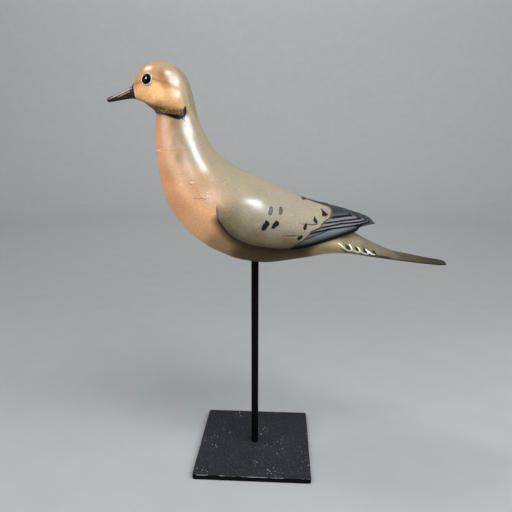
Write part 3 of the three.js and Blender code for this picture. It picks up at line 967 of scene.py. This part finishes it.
class Paint:
    """Adds nodes to one material and joins them. Colour is what has been painted so far."""

    def __init__(self, name):
        self.material = bpy.data.materials.new(name)
        self.material.use_nodes = True
        self.tree = self.material.node_tree
        self.surface = self.tree.nodes["Principled BSDF"]
        self.place = Value(self, self.node("TexCoord"), "Object")
        self.colour = None

    def join(self, value, socket):
        """Gives a socket a number, a colour, another node's value, or the field of that name."""
        if isinstance(value, str):
            value = self.field(value)
        if isinstance(value, Value):
            self.tree.links.new(value.socket, socket)
        elif isinstance(value, (tuple, list, np.ndarray)) and len(socket.default_value) == 4:
            socket.default_value = (*value, 1)
        else:
            socket.default_value = value

    def node(self, kind, *values, **settings):
        """A new node with its settings, and its first inputs joined to the values."""
        made = self.tree.nodes.new("ShaderNode" + kind)
        for setting, choice in settings.items():
            setattr(made, setting, choice)
        for value, socket in zip(values, made.inputs):
            self.join(value, socket)
        return made

    def set(self, name, value):
        """One of the shader's own inputs."""
        self.join(value, self.surface.inputs[name])

    def math(self, operation, a, b=0.0):
        return Value(self, self.node("Math", a, b, operation=operation))

    def away(self, a, b):
        """The distance when one place is a across and b up from another."""
        return self.math("SQRT", a * a + b * b)

    def side(self):
        """X and Z in millimetres."""
        apart = self.node("SeparateXYZ", self.place)
        return Value(self, apart, "X") * (1 / MM), Value(self, apart, "Z") * (1 / MM)

    def off_line(self, start, end):
        """Millimetres from a straight line in the side view."""
        x, z = self.side()
        (ax, az), (bx, bz) = ((at_x * UNIT, BELLY_HEIGHT + at_z * UNIT) for at_x, at_z in (start, end))
        dx, dz = bx - ax, bz - az
        x, z = x - ax, z - az
        along = (x * dx + z * dz) * (1 / (dx * dx + dz * dz))
        along = self.math("MINIMUM", self.math("MAXIMUM", along, 0.0), 1.0)
        return self.away(x - along * dx, z - along * dz)

    def less(self, value, low, high):
        """1 where value is under low, 0 where it is over high."""
        made = self.node("MapRange", value, low, high, 1.0, 0.0, interpolation_type="SMOOTHSTEP")
        return Value(self, made)

    def more(self, value, low, high):
        return self.math("SUBTRACT", 1.0, self.less(value, low, high))

    def blend(self, under, over, share, how="MIX"):
        made = self.node("Mix", share, data_type="RGBA", blend_type=how)
        self.join(under, made.inputs[6])
        self.join(over, made.inputs[7])
        return Value(self, made, 2)

    def over(self, tint, share):
        """Paints a tint over the colour so far."""
        self.colour = self.blend(self.colour, tint, share)

    def wobble(self, scale, by):
        """Noise around 0."""
        return (self.noise(scale, 2) - 0.5) * by

    def brush(self, name, tint, share, soft=0.25, ragged=0.5):
        """Paints strokes with soft, slightly ragged edges."""
        inside = self.less(self.field(name) + self.wobble(700, ragged), -soft, soft)
        self.over(tint, inside * share)

    def field(self, name, vector=False):
        return Value(self, self.node("Attribute", attribute_name=name), "Vector" if vector else "Fac")

    def stretched(self, turn, scale):
        """The place, turned by degrees in the side view and scaled along X, for noise in streaks."""
        still, turned = (0, 0, 0), (0, math.radians(turn), 0)
        return Value(self, self.node("Mapping", self.place, still, turned, (scale, 1, 1)))

    def noise(self, scale, detail=3.0, rough=0.5, at=None):
        """Noise from 0 to 1. Scale counts bumps in a metre."""
        return Value(self, self.node("TexNoise", at or self.place, 0, scale, detail, rough))

    def around(self, value, spread):
        """Noise from 0 to 1 turned into a number around 1."""
        return value * (2 * spread) + (1 - spread)

    def bump(self, height, distance, strength, normal=None):
        made = self.node("Bump", strength, distance * MM)
        self.join(height, made.inputs["Height"])
        if normal:
            self.join(normal, made.inputs["Normal"])
        return Value(self, made)


WING_TIP_FADE = (28.5, 31.5)
STRIP_SHARES = (0.8, 0.85, 0.75, 0.1)
WARMER, COOLER = (1.03, 0.99, 0.96), (0.98, 1.0, 1.02)


def paint_feathers(paint):
    """Dark flight feathers, each with a lighter strip above its dark lower edge."""
    under = paint.colour
    ragged = paint.wobble(500, 0.4)
    streaks = paint.noise(1400, 2, 0.6, paint.stretched(6, 0.08))
    plain = paint.blend(SLATE, SLATE_DARK, paint.more(streaks, 0.35, 0.7))
    # Painted sheen: a lighter blue-grey band above the feathers' lower edge, which fades out before the
    # tips
    before_tip = paint.less(paint.side()[0], *(x * UNIT for x in WING_TIP_FADE))
    feather_sheen = paint.more("low_edge", 1.8, 6.0) * (before_tip * 0.75 + 0.15)
    paint.colour = paint.blend(plain, SLATE_BLUE_SHEEN, feather_sheen)
    paint.brush("strips", SLATE_LIGHT, share=0.6, soft=0.5)
    paint.brush("strip_gaps", BLACK_LINE, share=0.9)
    # A black band along the feathers' lower edge: partly their dark painted edge, partly painted shadow of
    # the undercut
    paint.over(BLACK_LINE, paint.less("low_edge", 1.4, 3.2))
    lower = paint.less("upper_side", -0.2, 0.9)
    for index, strong in enumerate(STRIP_SHARES):
        inside = paint.field(f"feather_{index}") + ragged
        band = paint.more(inside, 0.8, 1.4) * paint.less(inside, 2.0, 3.2)
        own = paint.blend(plain, SLATE_LIGHT, band * (lower * strong + 0.12))
        own = paint.blend(own, BLACK_LINE, paint.less(inside, 0.6, 1.4) * (lower * 0.6 + 0.4))
        paint.over(own, paint.more(inside, -0.3, 0.0))
    paint.over(SLATE_LIGHT, paint.more("coverts", -1.6, -0.4) * 0.3)
    off_coverts = paint.less(paint.field("coverts") + ragged, -0.1, 0.1)
    paint.colour = paint.blend(under, paint.colour, off_coverts * paint.field("wing"))


def paint_coverts(paint):
    """Painted shadow under the wings and shade on their lower edge, and their outline, slits and spots."""
    # Painted shadow on the body under the wings' overhang: a wide dark brown band, and a black line right
    # under the edge
    paint.over(DARK_BROWN_AND_SHADE, paint.less("shadow_below_wing", 0.3, 8.5) * 0.85)
    paint.over(BLACK_LINE, paint.less("shadow_below_wing", 0.2, 1.0) * 0.8)
    paint.brush("wing_shade", OLIVE_BROWN, share=0.85, soft=3.5, ragged=3.0)
    paint.over(BLACK_LINE, paint.less("low_edge", 0.6, 1.5) * 0.95)
    lower = paint.less("upper_side", -4.0, 1.0)
    paint.over(DARK_BROWN_AND_SHADE, paint.less("coverts", 0.4, 1.4) * (lower * 0.6 + 0.3))
    paint.brush("slits", DARK_BROWN_AND_SHADE, share=0.85)
    paint.brush("black_spots", BLACK_LINE, share=0.97, ragged=1.2)
    paint.brush("grey_spots", SLATE, share=0.9, ragged=0.8)
    paint.over(GREY_BLUE, paint.less("grey_spots", -1.0, -0.5) * 0.85)


def paint_tail(paint):
    """Hatching, white hooks with black behind them, and the dark lower edge, partly painted underside
    shade.
    """
    paint.brush("hatching", DARK_BROWN_AND_SHADE, share=0.75, soft=0.2)
    # The tail's lower edge: dark paint, partly painted underside shade
    paint.brush("tail_edge", BLACK_LINE, share=0.92, soft=0.4)
    paint.brush("dark_marks", BLACK_LINE, share=0.92, soft=0.3)
    paint.brush("white_marks", CREAM, share=1.0, soft=0.15, ragged=0.2)


def paint_head(paint):
    """Eye line, jaw line, crescent on the neck, the pale seam and the bill, with a painted highlight on its
    top.
    """
    grains = paint.around(paint.noise(1300, 2, 0.6), 1.6)
    paint.over(JAW_BROWN, paint.less("jaw_shade", -0.8, 3.6) * grains)
    paint.over(JAW_BROWN, paint.less("nape", 0.0, 2.5) * 0.35 * grains)
    paint.brush("eye_line", EYE_BROWN, share=0.65, soft=1.2, ragged=1.5)
    paint.brush("jaw_line", JAW_DARK, share=0.85, soft=1.2, ragged=4.0)
    paint.brush("crescent", BLACK_LINE, share=0.97, ragged=0.8)
    worn = paint.more(paint.noise(130, 2), 0.34, 0.44)
    paint.over(SEAM_CREAM, paint.less("seam", -0.1, 0.3) * worn * 0.9)
    grain = paint.noise(1800, 2, 0.5, paint.stretched(24, 0.1))
    bill = paint.blend(BILL_DARK, BILL_LIGHT, paint.more(grain, 0.42, 0.68) * 0.12)
    # The painted highlight along the bill's top, only where the grain is light
    light = paint.less("bill_top_highlight", -0.3, 0.4) * paint.less(grain, 0.5, 0.75)
    bill = paint.blend(bill, BILL_LIGHT, light)
    paint.over(bill, paint.more("bill", -0.25, 0.25))


def paint_scratches(paint):
    for start, end, half, tint in SCRATCHES:
        near = paint.less(paint.off_line(start, end), half * 0.5, half * 1.5)
        paint.over(tint, near * 0.55)


def dove_material():
    """Airbrushed oil paint under a thin varnish, on carved wood."""
    paint = Paint("dove_paint")
    dashes = paint.noise(1300, 2, 0.6, paint.stretched(-25, 0.35))
    broad = paint.noise(110, 3, 0.6)
    shade = paint.around(broad, 0.06) * paint.around(dashes, 0.42)
    tinted = paint.node("VectorMath", paint.field("airbrush", vector=True), operation="SCALE")
    paint.join(shade, tinted.inputs["Scale"])
    hue = paint.blend(WARMER, COOLER, paint.more(paint.noise(120, 3), 0.35, 0.65))
    paint.colour = paint.blend(Value(paint, tinted), hue, 1.0, "MULTIPLY")
    for layer in (paint_coverts, paint_feathers, paint_tail, paint_head, paint_scratches):
        layer(paint)
    paint.set("Base Color", paint.colour)
    paint.set("Roughness", paint.noise(60, 3) * 0.16 + 0.45)
    paint.set("Specular IOR Level", 0.06)
    paint.set("Coat Weight", "gloss")
    paint.set("Coat Roughness", 0.32)
    paint.set("Coat IOR", 2.2)
    waves = paint.bump(paint.noise(55, 2), 0.5, 0.3)
    paint.set("Normal", paint.bump(dashes, 0.05, 0.6, waves))
    paint.set("Coat Normal", paint.bump(dashes, 0.05, 0.25, waves))
    return paint.material


def stand_material(name, dark, light, dust):
    """Satin black enamel on steel, with specks of dust on top, and worn edges with a painted highlight."""
    paint = Paint(name)
    over_top = paint.side()[1] - PLATE_THICKNESS
    on_top = paint.more(over_top, -0.2, -0.05) * dust
    # A band along the top edge: worn, bare enamel with a painted highlight on it
    worn = paint.more(over_top, -0.55, -0.3) * dust * paint.less(over_top, -0.2, -0.05)
    cloudy = paint.noise(45, 4, 0.6)
    # Painted light: the plate's top is painted lighter than its sides, in cloudy patches, as lit from above
    paint.colour = paint.blend(dark, light, paint.around(cloudy, 0.3) * on_top)
    grains = paint.more(paint.noise(1100, 1, 0.5), 0.55, 0.9)
    paint.over(DUST, grains * on_top)
    clusters = paint.more(paint.noise(60, 1), 0.55, 0.7)
    specks = paint.more(paint.noise(620, 0, 0.5), 0.74, 0.78) * clusters
    paint.over(DUST_SPECK, specks * on_top)
    # Paints the top edge's wear and painted highlight, broken by noise
    paint.over(BARE_EDGE_AND_HIGHLIGHT, worn * paint.more(paint.noise(90, 3), 0.42, 0.55))
    paint.set("Base Color", paint.colour)
    paint.set("Roughness", cloudy * 0.08 + 0.48)
    paint.set("Specular IOR Level", 0.03)
    paint.set("Normal", paint.bump(paint.noise(1500, 2), 0.05, 0.35))
    return paint.material


def eye_material():
    """Black glass with a hint of brown, and clean only high at the front."""
    paint = Paint("eye_glass")
    x, z = paint.side()
    away = paint.away(x - EYE_SHINE[0], z - EYE_SHINE[1])
    paint.set("Coat Weight", paint.less(away, EYE_SHINE_RADIUS, EYE_SHINE_RADIUS + EYE_SHINE_SOFT))
    paint.set("Coat IOR", 3.0)
    colour = paint.blend(GLASS_BLACK, GLASS_BROWN, paint.more(paint.noise(400, 2), 0.4, 0.7))
    paint.set("Base Color", colour)
    paint.set("Roughness", paint.noise(300, 2) * 0.03 + 0.02)
    paint.set("Specular IOR Level", 0.04)
    return paint.material


# The pieces. Edges that turn by more than these degrees stay sharp.
CARVING_SHARP, STEEL_SHARP = 40, 60


def finished(made, node, material, sharp_degrees=CARVING_SHARP):
    """Smooth shading, the material, and the ties to the frame."""
    mesh = made.data
    mesh.polygons.foreach_set("use_smooth", [True] * len(mesh.polygons))
    mesh.set_sharp_from_angle(angle=math.radians(sharp_degrees))
    mesh.materials.clear()
    mesh.materials.append(material)
    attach(made, "root")
    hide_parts(node)


def make_pieces():
    core, wings = core_object("core", True), wing_object()
    head = core_object("dove_head", False)
    lids = [eyelid("eye_left"), eyelid("eye_right")]
    for made in (core, head):
        paint_core(made.data)
    paint_wings(wings.data)
    for lid in lids:
        paint_lid(lid.data)
    dove = dove_material()
    finished(joined("dove_body", [core, wings]), "body", dove)
    finished(joined("dove_head", [head, *lids]), "head", dove)
    glass = eye_material()
    finished(glass_eye("left_eye", "eye_left"), "eye_left", glass)
    finished(glass_eye("right_eye", "eye_right"), "eye_right", glass)
    plate_paint = stand_material("plate_enamel", ENAMEL, ENAMEL_LIT_TOP, dust=0.9)
    rod_paint = stand_material("rod_enamel", ROD_ENAMEL, ENAMEL, dust=0.0)
    finished(plate_object(), "base_plate", plate_paint, STEEL_SHARP)
    finished(rod_object(), "rod", rod_paint, STEEL_SHARP)


make_pieces()


# Camera
CAMERA_AT = Vector((23.0, -396.8, 280.5)) * MM
CAMERA_YAW, CAMERA_PITCH, CAMERA_ROLL = (math.radians(d) for d in (-3.19, 13.46, -0.09))
FOCAL_LENGTH, SENSOR_WIDTH = 33.26, 36
NEAREST = 0.01


def camera():
    made = bpy.data.objects.new("camera", bpy.data.cameras.new("camera"))
    made.data.lens = FOCAL_LENGTH
    made.data.sensor_width = SENSOR_WIDTH
    made.data.clip_start = NEAREST
    turn = (
        Matrix.Rotation(-CAMERA_YAW, 4, "Z")
        @ Matrix.Rotation(math.pi / 2 - CAMERA_PITCH, 4, "X")
        @ Matrix.Rotation(-CAMERA_ROLL, 4, "Z")
    )
    made.matrix_world = Matrix.Translation(CAMERA_AT) @ turn
    bpy.context.scene.collection.objects.link(made)
    bpy.context.scene.camera = made


camera()


# Floor and light
BIRD_MIDDLE = Vector((0, 0, 0.25))
FLOOR_FLAT = 1500
COVE_RADIUS = 900
WALL_TOP = 2600
FLOOR_STEPS, COVE_STEPS = 128, 16
WORLD_COLOUR, WORLD_STRENGTH = (0.62, 0.63, 0.65, 1), 0.25


def floor():
    """A pale floor that curves up into a wall far from the bird, on every side."""
    profile = [(1.0, 0.0), (FLOOR_FLAT, 0.0)]
    for step in range(1, COVE_STEPS + 1):
        angle = math.pi / 2 * step / COVE_STEPS
        profile.append((FLOOR_FLAT + COVE_RADIUS * math.sin(angle), COVE_RADIUS * (1 - math.cos(angle))))
    profile.append((FLOOR_FLAT + COVE_RADIUS, WALL_TOP))
    points = [
        (radius * math.cos(angle), radius * math.sin(angle), z)
        for radius, z in profile
        for angle in ring_angles(FLOOR_STEPS)
    ]
    made = mesh_object("floor", points, ring_faces(len(profile), FLOOR_STEPS)[:-1])
    made.data.polygons.foreach_set("use_smooth", [True] * len(made.data.polygons))
    paint = Paint("floor_paper")
    paint.set("Base Color", paint.blend(FLOOR_GREY, FLOOR_PALE, paint.noise(30, 3)))
    paint.set("Roughness", 0.9)
    made.data.materials.append(paint.material)


def softbox(name, towards, distance, size, power, facing=None):
    """A soft rectangular light in a direction from the bird. It faces the bird, or another way."""
    lamp = bpy.data.lights.new(name, "AREA")
    lamp.shape = "RECTANGLE"
    lamp.size, lamp.size_y = size
    lamp.energy = power
    made = bpy.data.objects.new(name, lamp)
    way = Vector(towards).normalized()
    made.location = BIRD_MIDDLE + way * distance
    back = -Vector(facing) if facing else way
    made.rotation_euler = back.to_track_quat("Z", "Y").to_euler()
    bpy.context.scene.collection.objects.link(made)


def lights():
    view = bpy.context.scene.view_settings
    view.view_transform = "Standard"
    view.look = "None"
    softbox("overhead", (0.16, -0.34, 0.93), 1.2, (0.42, 0.30), 6)
    softbox("upper_right", (0.54, -0.46, 0.71), 1.2, (1.10, 0.45), 13)
    softbox("right_side", (0.79, -0.42, 0.45), 1.2, (0.70, 0.45), 7)
    softbox("key", (-0.53, 0.08, 0.84), 1.4, (0.22, 0.22), 6)
    softbox("left_high", (-0.52, -0.61, 0.60), 1.1, (0.40, 0.40), 2.5)
    softbox("left_front", (-0.88, -0.42, 0.20), 1.6, (0.9, 0.9), 11)
    softbox("front", (-0.16, -0.87, 0.46), 1.8, (0.7, 0.5), 1)
    softbox("backdrop", (0.0, 0.50, 0.87), 1.6, (2.0, 0.6), 36, facing=(0.0, 1.0, -0.25))
    world = bpy.data.worlds.new("world")
    bpy.context.scene.world = world
    world.use_nodes = True
    background = world.node_tree.nodes["Background"].inputs
    background["Color"].default_value = WORLD_COLOUR
    background["Strength"].default_value = WORLD_STRENGTH


floor()
lights()
